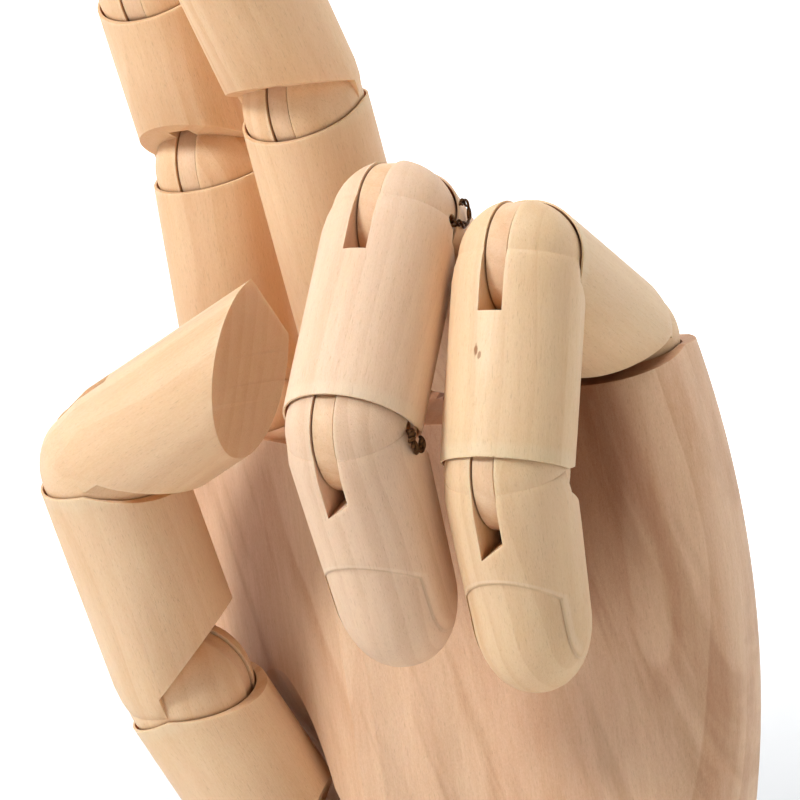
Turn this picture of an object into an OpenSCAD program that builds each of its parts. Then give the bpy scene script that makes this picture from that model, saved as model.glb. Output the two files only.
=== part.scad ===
// Jointed wooden hand mannequin, a left hand on a turned stand, in millimetres.
// The palm looks along -Y, the fingers point up and the thumb is on the -X side.
// The origin is the centre of the flat underside of the stand.
// Every joint has the same parts: a socket with a thin rim, a wooden disc fixed in
// that socket, a slotted ball that turns on the disc, and a metal pin through both.

/* [Stand and palm] */
// Height of the wrist joint's centre above the table
wrist_z = 104; // [95:1:112]
// Height of the knuckle line above the wrist joint
knuckle_rise = 94; // [88:1:98]
// Radius of the stand's foot
foot_r = 32; // [28:1:36]
// Radius of the stand just under the wrist
stand_top_r = 23; // [22:0.5:25]
// Thickness of the palm at its thickest
palm_t = 29; // [27:0.5:31]

/* [Fingers: index, middle, ring, little] */
// Sideways place of each knuckle
knuckle_x = [-29.4, -9.4, 9.8, 28.2]; // [-30:0.1:30]
// Height of each knuckle above the knuckle line
knuckle_z = [-3.8, -1.4, -3, 1.2]; // [-8:0.1:2]
// Radius of each finger
finger_r = [9, 9.1, 9, 8.6]; // [8.4:0.1:9.2]
// Length of each near piece, knuckle to middle joint
near_len = [36.2, 42, 40, 35.2]; // [34:0.2:43]
// Length of each middle piece, joint to joint
mid_len = [28, 30, 29.4, 27]; // [26:0.2:31]
// Length of each fingertip piece, joint to tip
tip_len = [31, 33, 35, 30.4]; // [28:0.2:36]
// Sideways tilt of each finger in the plane of the palm
splay = [0.2, -0.3, 4.4, 4.6]; // [-2:0.1:5]
// Turn of each finger about its own length
finger_turn = [-0.5, 1, -0.9, -0.9]; // [-2:0.1:2]
// Bend of each knuckle in the rest pose
knuckle_bend = [2.5, 13.5, 49, 64]; // [0:0.5:66]
// Bend of each middle joint in the rest pose
mid_bend = [15, 20, 95.5, 97]; // [0:0.5:98]
// Bend of each end joint in the rest pose
end_bend = [10, 12, 56, 31]; // [0:0.5:60]

/* [Thumb] */
// Radius of the thumb pieces
thumb_r = 10; // [9.6:0.1:10.2]
// Centre of the thumb's root joint, measured from the knuckle line
thumb_root = [-28.1, -7.4, -69.5]; // [-80:0.1:0]
// Lengths of the thumb's root, near and tip pieces
thumb_len = [33, 35.8, 36.4]; // [30:0.2:40]
// Turns about X, Y and Z that set the thumb's socket in the palm
thumb_socket = [-29, -16, 96]; // [-40:0.5:100]
// Bends of the thumb's three joints in the rest pose
thumb_bend = [10, 15, 68.5]; // [0:0.5:70]

/* [Joints] */
// Ball radius as a share of the piece's radius
ball_share = 0.93; // [0.92:0.005:0.94]
// Gap between a ball and its socket
cup_gap = 0.3; // [0.25:0.05:0.35]
// Thickness of the wooden discs
disc_t = 2.9; // [2.7:0.1:3]
// Width of the slots that the discs turn in
slot_w = 3.3; // [3.2:0.05:3.5]
// Radius of the joint pins
pin_r = 1; // [0.9:0.05:1.1]
// Running clearance of a pin in its disc
pin_fit = 0.05; // [0.03:0.01:0.08]

/* [Hidden] */
FINGERS = ["index", "middle", "ring", "little"];
JOINTS = ["knuckle", "mid", "end"];
THUMB_JOINTS = ["root", "near", "end"];

$fn = 96;
RING = 2;
// Ends of the fingertips' slots on their two sides, as shares of the radius
END_SLANT = [[0.92, 0.92], [0.92, 0.92], [0.92, 0.7], [1.04, 0.78]];
knuckle_line = wrist_z + knuckle_rise;

// Joint proportions, as shares of a piece's radius
disc_share = 0.88;
slot_floor = 0.92;
stem_half = 0.52;
stem_depth = 1.62;
rim_back = 0.07;
rim_side = 0.04;
bevel_start = 0.33;
bevel_slope = 0.8;
knuckle_slope = 1.05;
finger_drop = 0.27;
thumb_drop = 0.52;
knuckle_back = 0.2;
glue_gap = 0.05;
seam_turn = 35;
// A fingertip's waist, its taper up to the rounded end, and that end's height
tip_waist = 0.96;
tip_taper = 0.94;
dome_share = 1.25;
DOME_STEPS = 10;
// Where the far end of a piece draws in, before the joint's centre, and by how much
END_STEPS = [1.1, 0.6, 0.3, 0.25, 0.18, 0.1, 0];
end_draw = 0.007;
// Where the wall of a seat opens, below the joint's centre, and by how much
CUP_STEPS = [0.55, 0.4, 0.25, 0.15, 0.08, 0];
cup_draw = 0.02;
// Most that the ring and little finger's middle joints bend, with room to spare
tight_bend = 102;

// The slanted flat on the thumb's tip: where it meets the axis, and its two turns
flat_height = 2.76;
flat_tilt = 38.9;
flat_turn = -21.8;
// The trimmed side beside it, which points the tip: its place, height and two turns
trim_reach = 0.71;
trim_height = 3.2;
trim_tilt = 11;
trim_turn = 33.4;

// Wrist
wrist_ball_r = 19;
wrist_disc_r = 17.4;
wrist_disc_t = 6;
wrist_slot_w = 6.5;
wrist_pin_r = 2;
wrist_rim = 6;
shank_r = 7;
shank_len = 30;
shank_fit = 0.08;
// The pin across the stand that runs in the shank's groove, and its depth below the wrist
keeper_r = 1.5;
keeper_drop = 39;
keeper_play = 0.2;
keeper_end = 12;
keeper_len = 31.2;

// Palm
palm_top_t = 20;
palm_edge_r = 12.6;
// The palm's two sides are rims of large wheels: their radius, height and reach to each side
side_r = 145;
side_z = -31;
side_reach = [-44, 40.85];
// The round heel of the palm
heel_r = 50;
heel_z = -36;
thumb_plane = 19.4;
thumb_shank_r = 3.5;
thumb_over = 5;

pale_birch = [0.93, 0.8, 0.64];
warm_birch = [0.9, 0.74, 0.56];
disc_wood = [0.88, 0.71, 0.53];
brass = [0.72, 0.56, 0.3];
steel = [0.72, 0.72, 0.74];

// A ball or a round body whose seam is turned away from the planes that cut it
module turned() {
    rotate([0, 0, seam_turn])
        children();
}

// Half of everything beyond the plane that a joint's palm side is cut to.
// The region lies on the -Y side, under the line z = start + slope * |y|.
module palm_wedge(r, start, slope, below = 2) {
    reach = 2 * r;
    rotate([90, 0, 90])
        linear_extrude(4 * r, center = true)
            polygon([
                [0, start * r],
                [-reach, start * r + slope * reach],
                [-reach, -below * r],
                [0, -below * r]]);
}

// Everything above a socket's rim, which drops a little on the palm side
module above_rim(r, drop, reach = 1.3) {
    rotate([90, 0, 90])
        linear_extrude(4 * r, center = true)
            polygon([
                [reach * r, -rim_back * r],
                [0, -rim_side * r],
                [-reach * r, -rim_side * r - (drop - rim_side) * reach * r],
                [-reach * r, 3 * r],
                [reach * r, 3 * r]]);
}

// What a socket takes out of the piece that carries it
module socket(r, drop) {
    above_rim(r, drop);
    cup(r);
    stem_mortise(r);
}

// The round seat that a ball turns in, which opens by a hair towards its rim
module cup(r) {
    seat = ball_share * r + cup_gap;
    wall = [for (d = CUP_STEPS) [sqrt(seat * seat - d * d * r * r) + cup_draw, -d * r]];
    turned() {
        sphere(r = seat);
        rotate_extrude()
            polygon(concat([[0, -CUP_STEPS[0] * r]], wall, [[0, 0]]));
    }
}

// The hole that a disc's stem is glued into
module stem_mortise(r) {
    depth = stem_depth * r + glue_gap;
    translate([0, 0, -depth / 2])
        cube([disc_t + 2 * glue_gap, 2 * (stem_half * r + glue_gap), depth], center = true);
}

// Extra relief on a socket's palm side, for a joint that closes past a right angle.
// It is the space of the next piece's bevelled body at the joint's furthest bend.
module tight_relief(r) {
    rotate([tight_bend, 0, 0])
        rotate([90, 0, 90])
            linear_extrude(4 * r, center = true)
                polygon([
                    [0, (bevel_start - 0.08) * r],
                    [-2 * r, (bevel_start - 0.08 + 2 * bevel_slope) * r],
                    [-2 * r, 4 * r],
                    [0, 4 * r]]);
}

// The straight body of a piece up to its far joint. Its back edge is eased into the
// ball, and its far end draws in by a hair towards the socket's rim.
module body(r, len, back) {
    ease = 0.16;
    far = [for (d = END_STEPS)
        [r * (1 - end_draw * pow(1 - d / END_STEPS[0], 2)), len - d * r]];
    rotate_extrude()
        polygon(concat(
            [[0, back * r], [0.935 * r, back * r], [0.975 * r, (back + ease) * r],
                [r, (back + 2.5 * ease) * r]],
            far,
            [[0, len]]));
}

// The slot for the disc and the bore for the pin, cut through a ball.
// The slot's end may slant from one side to the other, as a hand saw leaves it.
// A blind bore opens on the -X side, or on the other one where far is set.
module ball_cuts(r, through = false, slant = [slot_floor, slot_floor], far = false) {
    rotate([90, 0, 0])
        linear_extrude(2.6 * r, center = true)
            polygon([
                [-slot_w / 2, -1.2 * r],
                [slot_w / 2, -1.2 * r],
                [slot_w / 2, slant[1] * r],
                [-slot_w / 2, slant[0] * r]]);
    if (slant[1] < slot_floor)
        rotate([0, 90, 0])
            cylinder(r = slot_floor * r, h = slot_w, center = true);
    end = through ? 1.2 * r : 0.62 * r;
    rotate([0, 0, far ? 180 : 0])
        translate([-1.2 * r, 0, 0])
            rotate([0, 90, 0])
                cylinder(r = pin_r + 0.02, h = 1.2 * r + end, $fn = 32);
}

// A near or middle piece: ball at its root, socket at its far end
module segment(r, len, slope, back, drop, tight = false, through = false, far = false) {
    color(pale_birch)
        difference() {
            union() {
                turned()
                    sphere(r = ball_share * r);
                difference() {
                    turned()
                        body(r, len, back);
                    palm_wedge(r, bevel_start, slope);
                }
            }
            ball_cuts(r, through, far = far);
            translate([0, 0, len])
                socket(r, drop);
            if (tight)
                translate([0, 0, len])
                    tight_relief(r);
        }
}

// The rounded end of a fingertip as points [radius, height]. A set depth draws them in,
// less and less towards the very tip.
function dome(r, len, depth = 0) = [for (i = [0:DOME_STEPS])
    let (a = 90 * i / DOME_STEPS, shallow = 1 - 1.8 * i / DOME_STEPS)
    [max(0, tip_waist * tip_taper * r * pow(cos(a), 0.86) - depth * shallow),
        len - dome_share * r * (1 - sin(a))]];

// The outline of a fingertip, turned about its length
module tip_body(r, len) {
    waist = tip_waist * r;
    start = len - dome_share * r;
    cylinder(r1 = 0.935 * r, r2 = 0.98 * r, h = 0.3 * r);
    translate([0, 0, 0.3 * r])
        cylinder(r1 = 0.98 * r, r2 = waist, h = 0.7 * r);
    translate([0, 0, r])
        cylinder(r1 = waist, r2 = waist * tip_taper, h = start - r);
    rotate_extrude()
        polygon(concat([[0, start - 1]], [[waist * tip_taper, start - 1]], dome(r, len)));
}

// The shallow step that outlines the nail on the back of a fingertip
module nail(r, len) {
    half_w = 0.76 * r;
    arch = 0.9 * r;
    root = len - 2.13 * r;
    depth = 0.15;
    difference() {
        rotate([-90, 0, 0])
            linear_extrude(2 * r)
                mirror([0, 1])
                    intersection() {
                        translate([-half_w, root])
                            square([2 * half_w, 3 * r]);
                        union() {
                            translate([0, root + arch])
                                circle(r = arch);
                            translate([-half_w, root + arch])
                                square([2 * half_w, 3 * r]);
                        }
                    }
        rotate_extrude()
            polygon(concat(
                [[0, 0], [tip_waist * r - depth, r]],
                dome(r, len, depth),
                [[0, len + 0.1]]));
    }
}

module fingertip(r, len, through, slant) {
    color(pale_birch)
        difference() {
            union() {
                turned()
                    sphere(r = ball_share * r);
                difference() {
                    turned()
                        tip_body(r, len);
                    palm_wedge(r, bevel_start, bevel_slope);
                }
            }
            ball_cuts(r, through, slant);
            nail(r, len);
        }
}

// The thumb's tip is a slanted flat from its palm side up to the back edge, with one
// side trimmed behind it
module thumb_fingertip(r, len) {
    waist = 0.97 * r;
    edge = 0.12 * r;
    color(pale_birch)
        difference() {
            union() {
                turned()
                    sphere(r = ball_share * r);
                difference() {
                    turned() {
                        cylinder(r1 = 0.935 * r, r2 = r, h = 0.4 * r);
                        translate([0, 0, 0.4 * r])
                            cylinder(r1 = r, r2 = waist, h = len - edge - 0.4 * r);
                        translate([0, 0, len - edge])
                            cylinder(r1 = waist, r2 = waist - edge, h = edge);
                    }
                    palm_wedge(r, 0.28, 0.9);
                }
            }
            ball_cuts(r, far = true);
            translate([0, 0, flat_height * r])
                rotate([flat_tilt, 0, flat_turn])
                    translate([-2 * r, -4 * r, 0])
                        cube([4 * r, 8 * r, 4 * r]);
            translate([0, 0, trim_height * r])
                rotate([0, -trim_tilt, trim_turn])
                    translate([trim_reach * r, -2 * r, -4 * r])
                        cube([2 * r, 4 * r, 8 * r]);
        }
}

// Wooden disc with a stem that is glued into the socket
module disc(r) {
    color(disc_wood)
        difference() {
            union() {
                rotate([0, 90, 0])
                    cylinder(r = disc_share * r, h = disc_t, center = true);
                translate([-disc_t / 2, -stem_half * r, -stem_depth * r])
                    cube([disc_t, 2 * stem_half * r, stem_depth * r]);
            }
            rotate([0, 90, 0])
                cylinder(r = pin_r + pin_fit, h = 2 * disc_t, center = true, $fn = 32);
        }
}

// Metal pin, pressed into the ball
module pin(r, through = false, far = false) {
    end = through ? 0.88 * r : 0.6 * r;
    color(through ? brass : steel)
        rotate([0, 0, far ? 180 : 0])
            translate([-0.88 * r, 0, 0])
                rotate([0, 90, 0])
                    cylinder(r = pin_r, h = 0.88 * r + end, $fn = 32);
}

// Places its children in the frame of a finger's knuckle socket
module at_knuckle(i) {
    translate([knuckle_x[i], 0, knuckle_line + knuckle_z[i]])
        rotate([0, splay[i], 0])
            rotate([0, 0, finger_turn[i]])
                children();
}

// Frames of the three pieces of a finger
module at_near(i) {
    at_knuckle(i)
        rotate([knuckle_bend[i], 0, 0])
            children();
}
module at_mid_socket(i) {
    at_near(i)
        translate([0, 0, near_len[i]])
            children();
}
module at_mid(i) {
    at_mid_socket(i)
        rotate([mid_bend[i], 0, 0])
            children();
}
module at_end_socket(i) {
    at_mid(i)
        translate([0, 0, mid_len[i]])
            children();
}
module at_tip(i) {
    at_end_socket(i)
        rotate([end_bend[i], 0, 0])
            children();
}

// Frames of the thumb
module at_thumb_socket() {
    translate([0, 0, knuckle_line] + thumb_root)
        rotate(thumb_socket)
            children();
}
module at_thumb(k) {
    if (k == 0)
        at_thumb_socket()
            rotate([thumb_bend[0], 0, 0])
                children();
    if (k > 0)
        at_thumb_end(k - 1)
            rotate([thumb_bend[k], 0, 0])
                children();
}
module at_thumb_end(k) {
    if (k == 0)
        at_thumb(0)
            translate([0, 0, thumb_len[0]])
                children();
    if (k == 1)
        at_thumb_end(0)
            rotate([thumb_bend[1], 0, 0])
                translate([0, 0, thumb_len[1]])
                    children();
}

// Only the ring finger's two upper pins come out on the little finger's side
function shows_pin(i) = i == RING;
function is_tight(i) = i >= RING;

module finger_near(i) {
    at_near(i)
        segment(finger_r[i], near_len[i], knuckle_slope, knuckle_back, finger_drop, is_tight(i));
}
module finger_mid(i) {
    at_mid(i)
        segment(finger_r[i], mid_len[i], bevel_slope, 0, finger_drop, false, shows_pin(i));
}
module finger_tip(i) {
    at_tip(i)
        fingertip(finger_r[i], tip_len[i], shows_pin(i), END_SLANT[i]);
}
module finger_disc(i, j) {
    if (j == 0) at_knuckle(i) disc(finger_r[i]);
    if (j == 1) at_mid_socket(i) disc(finger_r[i]);
    if (j == 2) at_end_socket(i) disc(finger_r[i]);
}
module finger_pin(i, j) {
    if (j == 0) at_near(i) pin(finger_r[i]);
    if (j == 1) at_mid(i) pin(finger_r[i], shows_pin(i));
    if (j == 2) at_tip(i) pin(finger_r[i], shows_pin(i));
}

module thumb_piece(k) {
    at_thumb(k) {
        if (k < 2)
            segment(thumb_r, thumb_len[k], bevel_slope, k == 0 ? knuckle_back : 0, thumb_drop,
                far = true);
        if (k == 2)
            thumb_fingertip(thumb_r, thumb_len[2]);
    }
}
// The thumb's root disc has a round shank, so that the thumb also turns
module thumb_root_disc() {
    at_thumb_socket()
        color(disc_wood)
            difference() {
                union() {
                    rotate([0, 90, 0])
                        cylinder(r = disc_share * thumb_r, h = disc_t, center = true);
                    translate([-disc_t / 2, -0.85 * thumb_shank_r, -1.05 * thumb_r])
                        cube([disc_t, 1.7 * thumb_shank_r, 0.5 * thumb_r]);
                    translate([0, 0, -stem_depth * thumb_r])
                        cylinder(r = thumb_shank_r, h = (stem_depth - 1) * thumb_r);
                }
                rotate([0, 90, 0])
                    cylinder(r = pin_r + pin_fit, h = 3 * disc_t, center = true, $fn = 32);
            }
}
module thumb_disc(k) {
    if (k == 0) thumb_root_disc();
    if (k > 0) at_thumb_end(k - 1) disc(thumb_r);
}
module thumb_pin(k) {
    at_thumb(k) pin(thumb_r, far = true);
}

// The palm's top edge seen from the front, about the knuckle line: one step per finger
module palm_front() {
    low = -knuckle_rise;
    tops = [for (i = [0:3]) knuckle_z[i] - rim_back * finger_r[i]];
    polygon([
        [-48, low], [-48, tops[0]], [-20, tops[0]], [-19, tops[1]], [0, tops[1]],
        [1, tops[2]], [18.6, tops[2]], [19.4, tops[3]], [48, tops[3]], [48, low]]);
}

// The palm's thickness seen from the side, about the knuckle line
module palm_side() {
    half = palm_t / 2;
    top = palm_top_t / 2;
    low = -knuckle_rise;
    polygon([
        [-half, low], [-half, -20], [-half + 0.4, 6], [top, 6], [top + 0.6, -6],
        [half - 1.4, -18], [half, -34], [half, low]]);
}

// A wheel whose rim is one side of the palm, with the two long edges rounded
module palm_wheel() {
    half = palm_t / 2;
    flat = side_r - palm_edge_r;
    rotate([90, 0, 0])
        rotate_extrude($fn = 360) {
            translate([0, -half])
                square([flat, palm_t]);
            translate([0, palm_edge_r - half])
                square([side_r, palm_t - 2 * palm_edge_r]);
            for (t = [-1, 1])
                translate([flat, t * (half - palm_edge_r)])
                    circle(r = palm_edge_r);
        }
}

// The palm's block before the sockets: between the two wheels, with its round heel
module palm_block() {
    difference() {
        intersection() {
            translate([side_reach[1] - side_r, 0, side_z])
                palm_wheel();
            translate([side_reach[0] + side_r, 0, side_z])
                palm_wheel();
            rotate([90, 0, 0])
                linear_extrude(60, center = true)
                    palm_front();
            rotate([90, 0, 90])
                linear_extrude(100, center = true)
                    palm_side();
            union() {
                translate([0, 0, heel_z])
                    sphere(r = heel_r);
                translate([-60, -40, heel_z - 14])
                    cube([120, 80, 80]);
            }
        }
        thumb_flat();
        palm_hollow();
    }
}

// The shallow hollow down the middle of the palm
module palm_hollow() {
    translate([6, -palm_t / 2 - 88.4, -120])
        cylinder(r = 90, h = 140, $fn = 180);
}

// What is left of the palm in front of the thumb: everything behind a slanted plane
module thumb_flat() {
    rotate([0, 0, -27])
        translate([-100, -thumb_plane - 100, -68])
            cube([200, 100, 100]);
}

module palm() {
    color(warm_birch)
        difference() {
            union() {
                translate([0, 0, knuckle_line])
                    palm_block();
                at_thumb_socket()
                    translate([0, 0, -2.1 * thumb_r])
                        cylinder(r = thumb_r, h = 2.2 * thumb_r);
                translate([0, 0, wrist_z])
                    sphere(r = wrist_ball_r);
            }
            for (i = [0:3])
                at_knuckle(i)
                    palm_socket(finger_r[i], i == 0 ? -1 : i == 3 ? 1 : 0);
            at_thumb_socket() {
                thumb_socket_cuts(thumb_r);
                thumb_room(thumb_r);
            }
            translate([0, 0, wrist_z])
                wrist_ball_cuts();
        }
}

// A knuckle's socket, with the palm's top cleared round it and in front of it.
// The first and last finger's rim runs on to the palm's side, which outer gives.
module palm_socket(r, outer) {
    clear_r = r + 0.9;
    front_w = 2 * r + 2.8;
    outer_w = 2 * r;
    intersection() {
        above_rim(r, finger_drop, 2.2);
        union() {
            cylinder(r = clear_r, h = 3 * r, center = true);
            translate([-front_w / 2, -3 * r, -1.5 * r])
                cube([front_w, 3 * r, 3 * r]);
            if (outer != 0)
                translate([(outer - 1) * outer_w / 2, -3 * r, -1.5 * r])
                    cube([outer_w, 6 * r, 3 * r]);
        }
    }
    cup(r);
    stem_mortise(r);
}

module thumb_socket_cuts(r) {
    intersection() {
        above_rim(r, thumb_drop);
        cylinder(r = 1.35 * r, h = 5 * r, center = true);
    }
    cup(r);
    translate([0, 0, -stem_depth * r - 0.3])
        cylinder(r = thumb_shank_r + shank_fit, h = stem_depth * r);
}

// Room in the palm for the thumb's root piece at its furthest bend
module thumb_room(r) {
    rotate([thumb_bend[0] + thumb_over, 0, 0])
        turned()
            cylinder(r = r + 0.5, h = 4 * r);
}

module wrist_ball_cuts() {
    cube([wrist_slot_w, 3 * wrist_ball_r, 2 * (wrist_disc_r + 0.8)], center = true);
    translate([0, 0, -wrist_disc_r])
        cube([wrist_slot_w, 3 * wrist_ball_r, 10], center = true);
    translate([-wrist_ball_r, 0, 0])
        rotate([0, 90, 0])
            cylinder(r = wrist_pin_r + 0.02, h = 2 * wrist_ball_r - 4, $fn = 48);
}

module wrist_disc() {
    color(disc_wood)
        translate([0, 0, wrist_z])
            difference() {
                union() {
                    rotate([0, 90, 0])
                        cylinder(r = wrist_disc_r, h = wrist_disc_t, center = true);
                    translate([0, 0, -wrist_ball_r - shank_len])
                        cylinder(r = shank_r, h = shank_len - 1.5);
                    translate([-wrist_disc_t / 2, -0.88 * shank_r, -wrist_ball_r - 2])
                        cube([wrist_disc_t, 1.76 * shank_r, 6]);
                }
                rotate([0, 90, 0])
                    cylinder(r = wrist_pin_r + pin_fit, h = 3 * wrist_disc_t, center = true, $fn = 48);
                translate([0, 0, -keeper_drop])
                    keeper_groove();
            }
}

// The groove round the wrist's shank that the keeper pin runs in
module keeper_groove() {
    width = 2 * (keeper_r + keeper_play);
    difference() {
        cylinder(r = shank_r + 2, h = width, center = true);
        cylinder(r = shank_r - keeper_r - 0.3, h = 2 * width, center = true);
    }
}

module wrist_pin() {
    color(steel)
        translate([-0.93 * wrist_ball_r, 0, wrist_z])
            rotate([0, 90, 0])
                cylinder(r = wrist_pin_r, h = 0.93 * wrist_ball_r + 0.7 * wrist_ball_r, $fn = 48);
}

// The turned stand, with the wrist's socket on top and a bore down its middle
module stand() {
    rim_z = wrist_z - wrist_rim;
    shank_end = wrist_z - wrist_ball_r - shank_len;
    color(warm_birch)
        difference() {
            rotate_extrude($fn = 128)
                polygon([
                    [0, 0], [foot_r - 1.2, 0], [foot_r, 1.2], [foot_r, 8], [foot_r - 1, 9.6],
                    [foot_r - 3.4, 10.6], [foot_r - 4.4, 13], [foot_r - 6.2, 18],
                    [foot_r - 8.4, 26], [foot_r - 10, 36], [foot_r - 10.8, 48],
                    [foot_r - 11, 58], [stand_top_r - 1.6, 70], [stand_top_r - 0.6, 82],
                    [stand_top_r, 92], [stand_top_r, rim_z - 1.4], [stand_top_r - 0.9, rim_z],
                    [0, rim_z]]);
            translate([0, 0, wrist_z])
                sphere(r = wrist_ball_r + cup_gap);
            translate([0, 0, shank_end - 0.4])
                cylinder(r = shank_r + shank_fit, h = shank_len + 4);
            at_keeper()
                cylinder(r = keeper_r + 0.02, h = keeper_len + 10, $fn = 48);
        }
}

// The keeper pin passes behind the shank, from the stand's thumb side
module at_keeper() {
    translate([keeper_end, shank_r, wrist_z - keeper_drop])
        rotate([0, -90, 0])
            children();
}
module wrist_keeper() {
    color(steel)
        at_keeper()
            translate([0, 0, 0.1])
                cylinder(r = keeper_r, h = keeper_len, $fn = 48);
}

module finger_nodes(i) {
    f = FINGERS[i];
    finger_near(i);
    finger_mid(i);
    finger_tip(i);
    for (j = [0:2]) {
        finger_disc(i, j);
        finger_pin(i, j);
    }
}

module thumb_nodes(k) {
    thumb_piece(k);
    thumb_disc(k);
    thumb_pin(k);
}

stand();
wrist_keeper();
wrist_disc();
wrist_pin();
palm();
for (i = [0:3]) finger_nodes(i);
for (k = [0:2]) thumb_nodes(k);
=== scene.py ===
import math
import random

import bpy
from mathutils import Matrix, Vector


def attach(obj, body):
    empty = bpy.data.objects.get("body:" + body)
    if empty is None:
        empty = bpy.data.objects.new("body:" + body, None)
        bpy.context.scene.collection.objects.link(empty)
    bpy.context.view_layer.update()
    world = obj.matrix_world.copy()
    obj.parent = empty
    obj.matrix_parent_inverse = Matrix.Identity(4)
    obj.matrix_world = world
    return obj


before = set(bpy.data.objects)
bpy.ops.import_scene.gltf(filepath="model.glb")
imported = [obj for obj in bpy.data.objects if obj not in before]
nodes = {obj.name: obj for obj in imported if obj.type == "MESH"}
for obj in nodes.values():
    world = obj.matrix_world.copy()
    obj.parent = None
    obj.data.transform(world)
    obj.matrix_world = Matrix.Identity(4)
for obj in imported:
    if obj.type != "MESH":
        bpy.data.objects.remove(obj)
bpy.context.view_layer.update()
random.seed(11)
MM = 0.001


# The frame of every piece, in millimetres, from the same values as the solids

LINE = 198
WRIST = 104
FINGERS = {
    "index": dict(x=-29.4, z=-3.8, r=9.0, lens=(36.2, 28, 31), splay=0.2, turn=-0.5, bends=(2.5, 15, 10)),
    "middle": dict(x=-9.4, z=-1.4, r=9.1, lens=(42, 30, 33), splay=-0.3, turn=1.0, bends=(13.5, 20, 12)),
    "ring": dict(x=9.8, z=-3.0, r=9.0, lens=(40, 29.4, 35), splay=4.4, turn=-0.9, bends=(49, 95.5, 56)),
    "little": dict(x=28.2, z=1.2, r=8.6, lens=(35.2, 27, 30.4), splay=4.6, turn=-0.9, bends=(64, 97, 31)),
}
THUMB = dict(root=(-28.1, -7.4, -69.5), lens=(33, 35.8, 36.4), socket=(-29, -16, 96), bends=(10, 15, 68.5))


def shift(x, y, z):
    return Matrix.Translation((x, y, z))


def turn(degrees, axis):
    return Matrix.Rotation(math.radians(degrees), 4, axis)


FRAMES = {}
for name, f in FINGERS.items():
    place = shift(f["x"], 0, LINE + f["z"]) @ turn(f["splay"], "Y") @ turn(f["turn"], "Z")
    rows = zip(("knuckle", "mid", "end"), ("near", "mid", "tip"), f["bends"], f["lens"])
    for joint, piece, bend, length in rows:
        FRAMES[f"{name}_{joint}_disc"] = place.copy()
        place = place @ turn(bend, "X")
        FRAMES[f"{name}_{piece}"] = place.copy()
        FRAMES[f"{name}_{joint}_pin"] = place.copy()
        place = place @ shift(0, 0, length)
tx, ty, tz = THUMB["socket"]
place = shift(*THUMB["root"]) @ turn(tz, "Z") @ turn(ty, "Y") @ turn(tx, "X")
place = shift(0, 0, LINE) @ place
rows = zip(("root", "near", "end"), ("root", "near", "tip"), THUMB["bends"], THUMB["lens"])
for joint, piece, bend, length in rows:
    FRAMES[f"thumb_{joint}_disc"] = place.copy()
    place = place @ turn(bend, "X")
    FRAMES[f"thumb_{piece}"] = place.copy()
    FRAMES[f"thumb_{joint}_pin"] = place.copy()
    place = place @ shift(0, 0, length)
for name in ("stand", "wrist_keeper"):
    FRAMES[name] = Matrix.Identity(4)
for name in ("wrist_disc", "wrist_pin"):
    FRAMES[name] = shift(0, 0, WRIST)
FRAMES["palm"] = shift(0, 0, LINE)


# Materials

class Graph:
    """A short way to write a node tree."""

    def __init__(self, tree):
        self.tree = tree

    def add(self, kind, inputs=None, **settings):
        node = self.tree.nodes.new(kind)
        for key, value in settings.items():
            setattr(node, key, value)
        for key, value in (inputs or {}).items():
            socket = node.inputs[key]
            if isinstance(value, bpy.types.NodeSocket):
                self.tree.links.new(value, socket)
            else:
                socket.default_value = value
        return node

    def math(self, op, a, b=0.0, c=0.0, clamp=False):
        return self.add("ShaderNodeMath", {0: a, 1: b, 2: c}, operation=op, use_clamp=clamp).outputs[0]

    def vector(self, op, a, b=(0, 0, 0)):
        node = self.add("ShaderNodeVectorMath", {0: a, 1: b}, operation=op)
        return node.outputs["Value"] if op in ("LENGTH", "DOT_PRODUCT") else node.outputs[0]

    def noise(self, where, stretch, detail=3.0, rough=0.5):
        spread = self.vector("MULTIPLY", where, stretch)
        node = self.add("ShaderNodeTexNoise", {
            "Vector": spread, "Scale": 1.0, "Detail": detail, "Roughness": rough})
        return node.outputs[0]

    def remap(self, value, low, high, to_low=0.0, to_high=1.0):
        node = self.add("ShaderNodeMapRange", {
            "Value": value, "From Min": low, "From Max": high, "To Min": to_low, "To Max": to_high},
            interpolation_type="SMOOTHSTEP")
        return node.outputs[0]

    def mix(self, share, a, b, blend="MIX"):
        node = self.add("ShaderNodeMix", data_type="RGBA", blend_type=blend)
        for socket, value in ((node.inputs[0], share), (node.inputs[6], a), (node.inputs[7], b)):
            if isinstance(value, bpy.types.NodeSocket):
                self.tree.links.new(value, socket)
            else:
                socket.default_value = value
        return node.outputs[2]


def srgb(r, g, b):
    def linear(v):
        v /= 255
        return v / 12.92 if v <= 0.04045 else ((v + 0.055) / 1.055) ** 2.4
    return (linear(r), linear(g), linear(b), 1.0)


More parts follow.
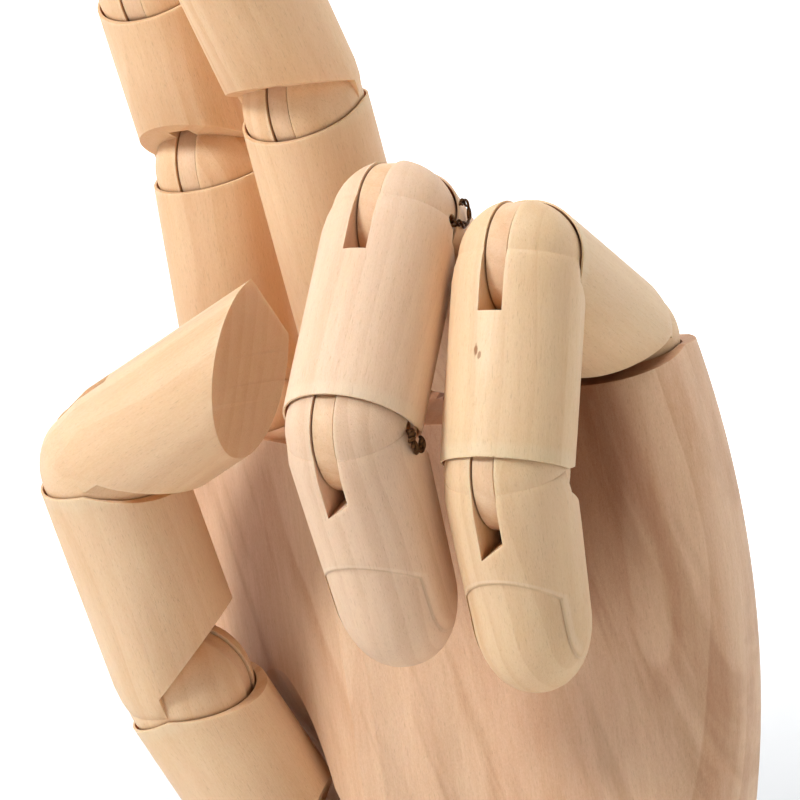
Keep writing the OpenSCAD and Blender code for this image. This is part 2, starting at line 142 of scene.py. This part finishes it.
def wood_group():
    """Wood in a piece's own frame: growth rings round a centre off the piece, fibres and
    pores along its length, darker end grain, painted shade in the gaps and painted highlights on the edges."""
    tree = bpy.data.node_groups.new("wood", "ShaderNodeTree")
    face = tree.interface
    for name, kind in (
            ("Place", "NodeSocketVector"), ("Way", "NodeSocketVector"), ("Centre", "NodeSocketVector"),
            ("Light", "NodeSocketColor"), ("Dark", "NodeSocketColor"), ("Pore", "NodeSocketColor"),
            ("Period", "NodeSocketFloat"), ("Rings", "NodeSocketFloat"), ("Streaks", "NodeSocketFloat"),
            ("Pores", "NodeSocketFloat"), ("Seed", "NodeSocketFloat")):
        face.new_socket(name, in_out="INPUT", socket_type=kind)
    for name, kind in (
            ("Color", "NodeSocketColor"), ("Roughness", "NodeSocketFloat"), ("Height", "NodeSocketFloat")):
        face.new_socket(name, in_out="OUTPUT", socket_type=kind)
    g = Graph(tree)
    given = g.add("NodeGroupInput").outputs
    seed = g.add("ShaderNodeCombineXYZ", {
        0: g.math("MULTIPLY", given["Seed"], 31.7),
        1: g.math("MULTIPLY", given["Seed"], 17.3),
        2: g.math("MULTIPLY", given["Seed"], 53.9)}).outputs[0]
    here = g.vector("ADD", given["Place"], seed)

    # growth rings
    drift = g.add("ShaderNodeTexNoise", {
        "Vector": g.vector("MULTIPLY", here, (0.045, 0.045, 0.014)),
        "Scale": 1.0, "Detail": 2.0}).outputs["Color"]
    drift = g.vector("MULTIPLY", g.vector("SUBTRACT", drift, (0.5, 0.5, 0.5)), (9, 9, 0))
    out = g.vector("ADD", g.vector("SUBTRACT", given["Place"], given["Centre"]), drift)
    parts = g.add("ShaderNodeSeparateXYZ", {0: out}).outputs
    flat = g.add("ShaderNodeCombineXYZ", {0: parts[0], 1: parts[1]}).outputs[0]
    reach = g.math("ADD", g.vector("LENGTH", flat), g.math("MULTIPLY", parts[2], 0.035))
    years = g.add("ShaderNodeCombineXYZ", {0: reach, 1: given["Seed"]}).outputs[0]
    uneven = g.math("MULTIPLY", g.noise(years, (0.35, 1, 1), 1.0), 1.6)
    phase = g.math("FRACT", g.math("ADD", g.math("DIVIDE", reach, given["Period"]), uneven))
    late = g.math("MULTIPLY", g.remap(phase, 0.25, 0.9), g.remap(phase, 1.0, 0.94))
    fade = g.remap(g.noise(here, (0.06, 0.06, 0.02), 1.0), 0.35, 0.7, 0.25, 1.0)
    rings = g.math("MULTIPLY", g.math("MULTIPLY", late, fade), given["Rings"])

    # streaks, fibres and pores, all drawn out along the piece
    streak = g.math("SUBTRACT", g.noise(here, (0.5, 0.5, 0.02), 3.0, 0.55), 0.5)
    fibre = g.math("SUBTRACT", g.noise(here, (3.2, 3.2, 0.32), 4.0, 0.65), 0.5)
    grainy = g.math("SUBTRACT", g.noise(here, (5.5, 5.5, 2.6), 2.0, 0.7), 0.5)
    cell = g.noise(here, (8.0, 8.0, 0.9), 2.0, 0.5)
    pores = g.math("MULTIPLY", g.remap(cell, 0.6, 0.72), given["Pores"])
    cloud = g.math("SUBTRACT", g.noise(here, (0.09, 0.09, 0.05), 2.0), 0.5)

    # the end grain drinks more and shows darker
    end = g.math("ABSOLUTE", g.add("ShaderNodeSeparateXYZ", {0: given["Way"]}).outputs[2])
    end = g.remap(end, 0.55, 1.0)

    tone = g.math("ADD", rings, g.math("MULTIPLY", streak, given["Streaks"]))
    tone = g.math("ADD", tone, g.math("MULTIPLY", fibre, 0.42))
    tone = g.math("ADD", tone, g.math("MULTIPLY", cloud, 0.5))
    tone = g.math("ADD", tone, g.math("MULTIPLY", grainy, 0.55))
    tone = g.math("ADD", tone, g.math("MULTIPLY", end, 0.28))
    tone = g.math("ADD", tone, 0.22, clamp=True)
    colour = g.mix(tone, given["Light"], given["Dark"])
    warm = g.remap(g.noise(here, (0.16, 0.16, 0.06), 2.0), 0.3, 0.7)
    colour = g.mix(g.math("MULTIPLY", warm, 0.12), colour, srgb(236, 196, 170))
    colour = g.mix(pores, colour, given["Pore"])

    # painted shade in the gaps, darker and warmer where neighbours are near, and painted highlights on the
    # edges
    gap_shade = g.add("ShaderNodeAmbientOcclusion", {"Distance": 1.6 * MM}, samples=6).outputs["AO"]
    gap_shade = g.remap(gap_shade, 0.1, 0.7, 0.72, 1.0)
    # painted highlight: convex edges are paled where they would catch the light
    edge_highlight = g.add("ShaderNodeAmbientOcclusion", {"Distance": 0.7 * MM}, samples=6, inside=True).outputs["AO"]
    edge_highlight = g.remap(edge_highlight, 0.45, 0.95, 0.16, 0.0)
    colour = g.mix(edge_highlight, colour, srgb(246, 222, 190))
    # painted shade: the occlusion darkens the colour, and blue most, so the gaps turn warmer
    gap_shade_colour = g.add("ShaderNodeCombineColor", {
        0: gap_shade, 1: g.math("POWER", gap_shade, 1.25), 2: g.math("POWER", gap_shade, 1.5)}).outputs[0]
    colour = g.mix(1.0, colour, gap_shade_colour, "MULTIPLY")

    rough = g.math("ADD", 0.5, g.math("MULTIPLY", fibre, 0.35))
    rough = g.math("ADD", rough, g.math("MULTIPLY", pores, 0.2))
    rough = g.math("ADD", rough, g.math("MULTIPLY", end, 0.12))
    height = g.math("SUBTRACT", g.math("MULTIPLY", fibre, 0.6), g.math("MULTIPLY", pores, 0.9))
    height = g.math("ADD", height, g.math("MULTIPLY", grainy, 0.5))
    height = g.math("SUBTRACT", height, g.math("MULTIPLY", rings, 0.4))
    g.add("NodeGroupOutput", {"Color": colour, "Roughness": rough, "Height": height})
    return tree


WOOD = wood_group()


def piece_place(g, where):
    """The point and the surface's direction in a piece's own frame, in millimetres."""
    back = where.inverted()
    angles = back.to_euler("XYZ")
    coords = g.add("ShaderNodeTexCoord").outputs
    size = g.vector("MULTIPLY", coords["Object"], (1000, 1000, 1000))
    place = g.add("ShaderNodeMapping", {
        "Vector": size, "Location": back.translation, "Rotation": angles}, vector_type="POINT").outputs[0]
    way = g.add("ShaderNodeMapping", {
        "Vector": coords["Normal"], "Rotation": angles}, vector_type="POINT").outputs[0]
    return place, way


def new_material(name):
    material = bpy.data.materials.new(name)
    material.use_nodes = True
    material.node_tree.nodes.clear()
    return material, Graph(material.node_tree)


# How far the palm's streaks lean, in degrees, and how far the painted shadow on its front looks for
# neighbours
STREAK_LEAN, PALM_SHADOW_REACH = 14, 42

# Shares of a fingertip's radius: the nail's half width, the radius of its arch, how far the
# arch's centre lies before the tip, and where the outline fades out towards the tip
NAIL_HALF, NAIL_ARCH, NAIL_CENTRE, NAIL_FADE = 0.76, 0.9, 1.23, (0.45, 0.8)


def nail_edge(g, place, r, length):
    """How far a point lies outside the nail's outline, in millimetres, and how strongly
    the outline shows there: only on the back of the tip and not at its very end."""
    parts = g.add("ShaderNodeSeparateXYZ", {0: place}).outputs
    side = g.math("ABSOLUTE", parts[0])
    below = g.math("MINIMUM", g.math("SUBTRACT", parts[2], length - NAIL_CENTRE * r), 0.0)
    squares = g.math("ADD", g.math("MULTIPLY", side, side), g.math("MULTIPLY", below, below))
    past_arch = g.math("SUBTRACT", g.math("SQRT", squares), NAIL_ARCH * r)
    off = g.math("MAXIMUM", g.math("SUBTRACT", side, NAIL_HALF * r), past_arch)
    near_tip = g.remap(parts[2], length - NAIL_FADE[0] * r, length - NAIL_FADE[1] * r)
    shown = g.math("MULTIPLY", g.remap(parts[1], 0.5, 2.0), near_tip)
    return off, shown


def with_nail(g, place, colour, height, r, length):
    """Adds a painted shadow line, a painted highlight lip and the step of a nail's outline."""
    off, shown = nail_edge(g, place, r, length)
    # painted shadow: a thin dark line along the nail's outline
    nail_shadow_line = g.math("MULTIPLY", g.remap(g.math("ABSOLUTE", off), 0.24, 0.08), shown)
    colour = g.mix(g.math("MULTIPLY", nail_shadow_line, 0.3), colour, srgb(166, 122, 88))
    # painted highlight: a pale lip just inside the outline
    from_highlight_lip = g.math("ABSOLUTE", g.math("SUBTRACT", off, 0.42))
    nail_highlight_lip = g.math("MULTIPLY", g.remap(from_highlight_lip, 0.3, 0.05), shown)
    colour = g.mix(g.math("MULTIPLY", nail_highlight_lip, 0.2), colour, srgb(250, 228, 200))
    step = g.math("MULTIPLY", g.math("MULTIPLY", g.remap(off, -0.2, 0.2), shown), 0.5)
    return colour, g.math("ADD", height, step)


def with_palm_painted_shadow(g, place, colour):
    """Adds the palm's leaning growth streaks, and a painted shadow on its half-enclosed front."""
    turned = g.add("ShaderNodeMapping", {
        "Vector": place, "Rotation": (0, math.radians(STREAK_LEAN), 0)}).outputs[0]
    leaning = g.remap(g.noise(turned, (0.24, 0.05, 0.014), 3.0, 0.6), 0.48, 0.68)
    darker = g.mix(1.0, colour, (0.66, 0.52, 0.42, 1), "MULTIPLY")
    colour = g.mix(g.math("MULTIPLY", leaning, 0.5), colour, darker)
    # painted shadow: the palm's front darkens where the occlusion finds the fingers before it, mostly right
    # of its middle
    painted_shadow = g.add("ShaderNodeAmbientOcclusion", {"Distance": PALM_SHADOW_REACH * MM}, samples=8).outputs["AO"]
    across = g.add("ShaderNodeSeparateXYZ", {0: place}).outputs[0]
    shadow_window = g.math("MULTIPLY", g.remap(across, -14.0, 10.0, 0.25, 1.0), g.remap(across, 40.0, 30.0))
    painted_shadow = g.math("MULTIPLY", g.remap(painted_shadow, 0.98, 0.35), shadow_window)
    return g.mix(painted_shadow, colour, g.mix(1.0, colour, (0.38, 0.27, 0.2, 1), "MULTIPLY"))


def wood(name, where, tones, centre, period, rings, streaks, pores=0.3, spots=(), nail=None):
    """tones are the light and the dark colour of the growth rings. spots are small brown marks:
    place in the piece's frame, size in mm and strength. nail is a fingertip's radius and length."""
    material, g = new_material(name)
    place, way = piece_place(g, where)
    seed = round(random.uniform(1, 9), 3)
    grain = g.add("ShaderNodeGroup", node_tree=WOOD)
    for key, value in (
            ("Centre", centre), ("Light", tones[0]), ("Dark", tones[1]), ("Pore", srgb(176, 132, 96)),
            ("Period", period), ("Rings", rings), ("Streaks", streaks), ("Pores", pores), ("Seed", seed)):
        grain.inputs[key].default_value = value
    g.tree.links.new(place, grain.inputs["Place"])
    g.tree.links.new(way, grain.inputs["Way"])
    colour = grain.outputs["Color"]
    for spot, size, strength in spots:
        ragged = g.math("SUBTRACT", g.noise(place, (1.6, 1.6, 0.9), 3.0), 0.5)
        off = g.vector("DIVIDE", g.vector("SUBTRACT", place, spot), size)
        far = g.math("ADD", g.vector("LENGTH", off), g.math("MULTIPLY", ragged, 1.4))
        colour = g.mix(g.remap(far, 1.1, 0.6, 0.0, strength), colour, srgb(150, 92, 44))
    height = grain.outputs["Height"]
    # the palm gets its painted shadow here
    if name == "palm":
        colour = with_palm_painted_shadow(g, place, colour)
    if nail:
        colour, height = with_nail(g, place, colour, height, *nail)
    bump = g.add("ShaderNodeBump", {"Height": height, "Strength": 0.55, "Distance": 0.07 * MM})
    shader = g.add("ShaderNodeBsdfPrincipled", {
        "Base Color": colour, "Roughness": grain.outputs["Roughness"], "Normal": bump.outputs[0],
        "Specular IOR Level": 0.35, "Subsurface Weight": 0.3, "Subsurface Radius": (1.0, 0.55, 0.3),
        "Subsurface Scale": 1.4 * MM})
    g.add("ShaderNodeOutputMaterial", {"Surface": shader.outputs[0]})
    return material


def metal(name, where, clean, tarnish, roughness, stretch=(1.2, 6, 6)):
    """Drawn metal with fine lines, clean in some places and tarnished in others."""
    material, g = new_material(name)
    place, _ = piece_place(g, where)
    worn = g.noise(place, (0.9, 0.9, 0.9), 4.0, 0.6)
    lines = g.noise(place, stretch, 3.0, 0.6)
    colour = g.mix(g.remap(worn, 0.35, 0.7), clean, tarnish)
    rough = g.math("ADD", roughness, g.math("MULTIPLY", lines, 0.22))
    bump = g.add("ShaderNodeBump", {"Height": lines, "Strength": 0.4, "Distance": 0.02 * MM})
    shader = g.add("ShaderNodeBsdfPrincipled", {
        "Base Color": colour, "Roughness": rough, "Normal": bump.outputs[0], "Metallic": 1.0})
    g.add("ShaderNodeOutputMaterial", {"Surface": shader.outputs[0]})
    return material


TONES = {
    "index": (srgb(240, 202, 158), srgb(218, 164, 112)),
    "middle": (srgb(240, 202, 158), srgb(218, 164, 112)),
    "ring": (srgb(235, 200, 166), srgb(210, 166, 130)),
    "little": (srgb(234, 200, 157), srgb(212, 166, 118)),
    "thumb": (srgb(240, 204, 162), srgb(218, 166, 116)),
    "palm": (srgb(238, 200, 162), srgb(196, 134, 90)),
    "disc": (srgb(238, 200, 160), srgb(212, 158, 112)),
    "stand": (srgb(238, 200, 156), srgb(212, 156, 106)),
}


def finish_of(name):
    """The material of a piece, chosen by what the piece is."""
    where = FRAMES[name]
    owner, _, part = name.partition("_")
    if name in ("wrist_keeper", "wrist_pin"):
        return metal(name, where, srgb(205, 205, 208), srgb(150, 148, 146), 0.28)
    if name.endswith("_pin"):
        if name in ("ring_mid_pin", "ring_end_pin"):
            return metal(name, where, srgb(176, 122, 62), srgb(92, 52, 28), 0.3)
        return metal(name, where, srgb(200, 198, 196), srgb(140, 136, 130), 0.32)
    if name.endswith("_disc"):
        return wood(name, where, TONES["disc"], centre=(6, 40, 0), period=2.6, rings=0.25, streaks=0.6)
    if name == "palm":
        return wood(name, where, TONES["palm"], centre=(10, 62, 0), period=5.6, rings=0.38, streaks=0.5)
    if name == "stand":
        return wood(name, where, TONES["stand"], centre=(16, 22, 0), period=4.4, rings=0.4, streaks=0.8)
    centre = (random.choice((-1, 1)) * random.uniform(14, 34), random.uniform(6, 26), 0)
    spots = []
    if name == "little_mid":
        spots = [((-1.5, 8.4, 12.9), (0.34, 3.0, 0.95), 0.9), ((-1.0, 8.4, 13.6), (0.3, 3.0, 0.6), 0.7),
                 ((0.4, 8.5, 26.6), (1.7, 3.0, 0.3), 0.6)]
    nail = None
    if part == "tip" and owner != "thumb":
        nail = (FINGERS[owner]["r"], FINGERS[owner]["lens"][2])
    return wood(name, where, TONES[owner], centre, period=random.uniform(2.8, 4.2),
                rings=random.uniform(0.2, 0.34), streaks=random.uniform(0.35, 0.6), spots=spots, nail=nail)


SOFT_EDGE = 0.12
SHARP_FROM = 28

for name in sorted(nodes):
    obj = nodes[name]
    obj.data.materials.clear()
    obj.data.materials.append(finish_of(name))
    weld = obj.modifiers.new("weld", "WELD")
    weld.merge_threshold = 0.01 * MM
    soft = obj.modifiers.new("soft edges", "BEVEL")
    soft.width = SOFT_EDGE * MM
    soft.segments = 2
    soft.limit_method = "ANGLE"
    soft.angle_limit = math.radians(SHARP_FROM)
    soft.harden_normals = True
    soft.use_clamp_overlap = True


# The twisted wire ends of the ring finger's two upper pins

def along(points, share):
    """A point on the smooth curve through the given points."""
    spot = share * (len(points) - 1)
    k = min(int(spot), len(points) - 2)
    t = spot - k
    p = [Vector(points[max(0, min(len(points) - 1, k + d))]) for d in (-1, 0, 1, 2)]
    return 0.5 * (2 * p[1] + (p[2] - p[0]) * t + (2 * p[0] - 5 * p[1] + 4 * p[2] - p[3]) * t ** 2
                  + (3 * p[1] - p[0] - 3 * p[2] + p[3]) * t ** 3)


TUBE_SIDES = 14
WIRE_STEPS = 90


def tube(path, radius):
    """Points and faces of a round wire along a path, with rounded ends."""
    sides = TUBE_SIDES
    verts, faces = [], []
    normal = Vector((0.3, 0.9, 0.2))
    last = len(path) - 1
    for k, point in enumerate(path):
        way = (path[min(k + 1, last)] - path[max(k - 1, 0)]).normalized()
        normal = (normal - normal.dot(way) * way).normalized()
        other = way.cross(normal)
        thin = radius * min(1.0, 0.45 + 0.3 * min(k, last - k))
        for j in range(sides):
            a = 2 * math.pi * j / sides
            verts.append(point + thin * (math.cos(a) * normal + math.sin(a) * other))
    for k in range(last):
        for j in range(sides):
            n = (j + 1) % sides
            faces.append((k * sides + j, k * sides + n, (k + 1) * sides + n, (k + 1) * sides + j))
    faces.append(tuple(reversed(range(sides))))
    faces.append(tuple(last * sides + j for j in range(sides)))
    return verts, faces


def twisted_wire(name, body, points, radius, press, twist=0.34, strands=2, turns=3.4):
    """Strands of the given radius, twisted round the curve through the points. press flattens
    the twist against the finger's side, so the next finger can pass."""
    where = FRAMES[body]
    verts, faces = [], []
    for strand in range(strands):
        path = []
        for k in range(WIRE_STEPS + 1):
            share = k / WIRE_STEPS
            middle = along(points, share)
            ahead, behind = along(points, min(1, share + 0.01)), along(points, max(0, share - 0.01))
            way = (ahead - behind).normalized()
            side = way.cross(Vector((0.2, 0.5, 0.8))).normalized()
            a = 2 * math.pi * (turns * share + strand / strands)
            wide = twist * min(1.0, share * 8)
            off = wide * (math.cos(a) * side + math.sin(a) * way.cross(side))
            off.x *= press
            path.append(middle + off)
        more, rings = tube(path, radius)
        faces += [tuple(v + len(verts) for v in face) for face in rings]
        verts += more
    mesh = bpy.data.meshes.new(name)
    mesh.from_pydata([(where @ v) * MM for v in verts], [], faces)
    mesh.polygons.foreach_set("use_smooth", [True] * len(mesh.polygons))
    obj = bpy.data.objects.new(name, mesh)
    bpy.context.scene.collection.objects.link(obj)
    mesh.materials.append(metal(name, where, srgb(104, 70, 42), srgb(38, 24, 15), 0.4, (2, 2, 2)))
    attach(obj, body)
    return obj


twisted_wire("ring_end_wire", "ring_tip", [
    (7.4, 0.6, 0.4), (8.8, 1.0, 0.1), (9.35, 1.6, -0.1), (9.35, 2.2, 0.5),
    (9.25, 1.7, 1.6), (9.2, 1.1, 2.7), (9.4, 0.1, 2.6), (9.5, 0.1, 1.3)], radius=0.27, press=0.6)
twisted_wire("ring_mid_wire", "ring_mid", [
    (7.6, 0.2, 0.3), (8.9, 0.2, 0.35), (9.24, -0.5, -0.1), (9.24, -2.0, -0.6),
    (9.22, -2.7, -1.9), (9.22, -1.8, -3.2), (9.22, -0.3, -3.2), (9.22, 0.6, -2.2)], radius=0.17, press=0.2)


# Stage, light and camera

# The paper glows like a lamp in the distance only, and under the object it carries a painted shadow. The
# camera's turn and roll are in degrees, its place is in millimetres.
NEAR_GLOW, FAR_GLOW = 0.03, 0.8
VIEW_TURN, VIEW_ROLL = 26.1, -8.67
BEND_STEPS = 12


def sweep():
    """A pale floor that curves up into a backdrop."""
    wide, near, far, bend, tall = 9.0, -9.0, 2.6, 0.9, 4.0
    profile = [(near, 0.0), (far - bend, 0.0)]
    for k in range(1, BEND_STEPS + 1):
        a = math.radians(90 * k / BEND_STEPS)
        profile.append((far - bend + bend * math.sin(a), bend - bend * math.cos(a)))
    profile.append((far, tall))
    verts, faces = [], []
    for y, z in profile:
        verts += [(-wide, y, z), (wide, y, z)]
    for k in range(len(profile) - 1):
        faces.append((2 * k, 2 * k + 1, 2 * k + 3, 2 * k + 2))
    mesh = bpy.data.meshes.new("sweep")
    mesh.from_pydata(verts, [], faces)
    mesh.polygons.foreach_set("use_smooth", [True] * len(mesh.polygons))
    obj = bpy.data.objects.new("sweep", mesh)
    bpy.context.scene.collection.objects.link(obj)
    obj.rotation_euler = (0, 0, math.radians(VIEW_TURN))
    material, g = new_material("paper")
    spot = g.add("ShaderNodeTexCoord").outputs["Object"]
    cloud = g.noise(spot, (3, 3, 3), 3.0)
    colour = g.mix(cloud, (0.86, 0.855, 0.85, 1), (0.83, 0.825, 0.82, 1))
    away = g.vector("LENGTH", spot)
    # painted shadow: the paper is painted darker close under the object
    colour = g.mix(g.remap(away, 0.2, 1.0, 0.3, 0.0), colour, (0.3, 0.28, 0.26, 1))
    glow = g.remap(away, 0.3, 1.2, NEAR_GLOW, FAR_GLOW)
    shader = g.add("ShaderNodeBsdfPrincipled", {
        "Base Color": colour, "Roughness": 0.8, "Emission Color": (1, 1, 1, 1), "Emission Strength": glow})
    g.add("ShaderNodeOutputMaterial", {"Surface": shader.outputs[0]})
    mesh.materials.append(material)
    return obj


sweep()

CAMERA = Vector((201.77, -425.08, 249.76)) * MM
BACK = Vector((0.43693, -0.89190, 0.11662)).normalized()
AZIMUTH, ROLL = math.radians(VIEW_TURN), math.radians(VIEW_ROLL)
level = Vector((math.cos(AZIMUTH), math.sin(AZIMUTH), 0))
upright = BACK.cross(level)
RIGHT = math.cos(ROLL) * level + math.sin(ROLL) * upright
UP = -math.sin(ROLL) * level + math.cos(ROLL) * upright
data = bpy.data.cameras.new("camera")
data.sensor_width = 36
data.lens = 151.7
data.clip_start, data.clip_end = 0.01, 30
camera = bpy.data.objects.new("camera", data)
bpy.context.scene.collection.objects.link(camera)
camera.matrix_world = Matrix((
    (RIGHT.x, UP.x, BACK.x, CAMERA.x),
    (RIGHT.y, UP.y, BACK.y, CAMERA.y),
    (RIGHT.z, UP.z, BACK.z, CAMERA.z),
    (0, 0, 0, 1)))
bpy.context.scene.camera = camera

AIM = Vector((0, 0, 0.2))


def lamp(name, where, size, power, colour):
    """A round soft light that shines on the middle of the object."""
    light = bpy.data.lights.new(name, "AREA")
    light.shape = "DISK"
    light.size = size
    light.energy = power
    light.color = colour
    obj = bpy.data.objects.new(name, light)
    bpy.context.scene.collection.objects.link(obj)
    obj.location = where
    obj.rotation_mode = "QUATERNION"
    obj.rotation_quaternion = (AIM - Vector(where)).to_track_quat("-Z", "Y")
    return obj


lamp("key", (-0.54, -0.86, 1.08), 0.42, 17.0, (0.87, 0.93, 1.0))
lamp("top", (0.25, -0.1, 1.55), 0.7, 10.5, (0.92, 0.96, 1.0))
lamp("rim", (1.3, 0.7, 0.6), 0.9, 3.2, (0.96, 0.98, 1.0))

world = bpy.data.worlds.new("world")
world.use_nodes = True
sky = world.node_tree.nodes["Background"].inputs
sky["Color"].default_value = (1.0, 0.9, 0.8, 1)
sky["Strength"].default_value = 0.06
bpy.context.scene.world = world
bpy.context.scene.view_settings.view_transform = "Standard"
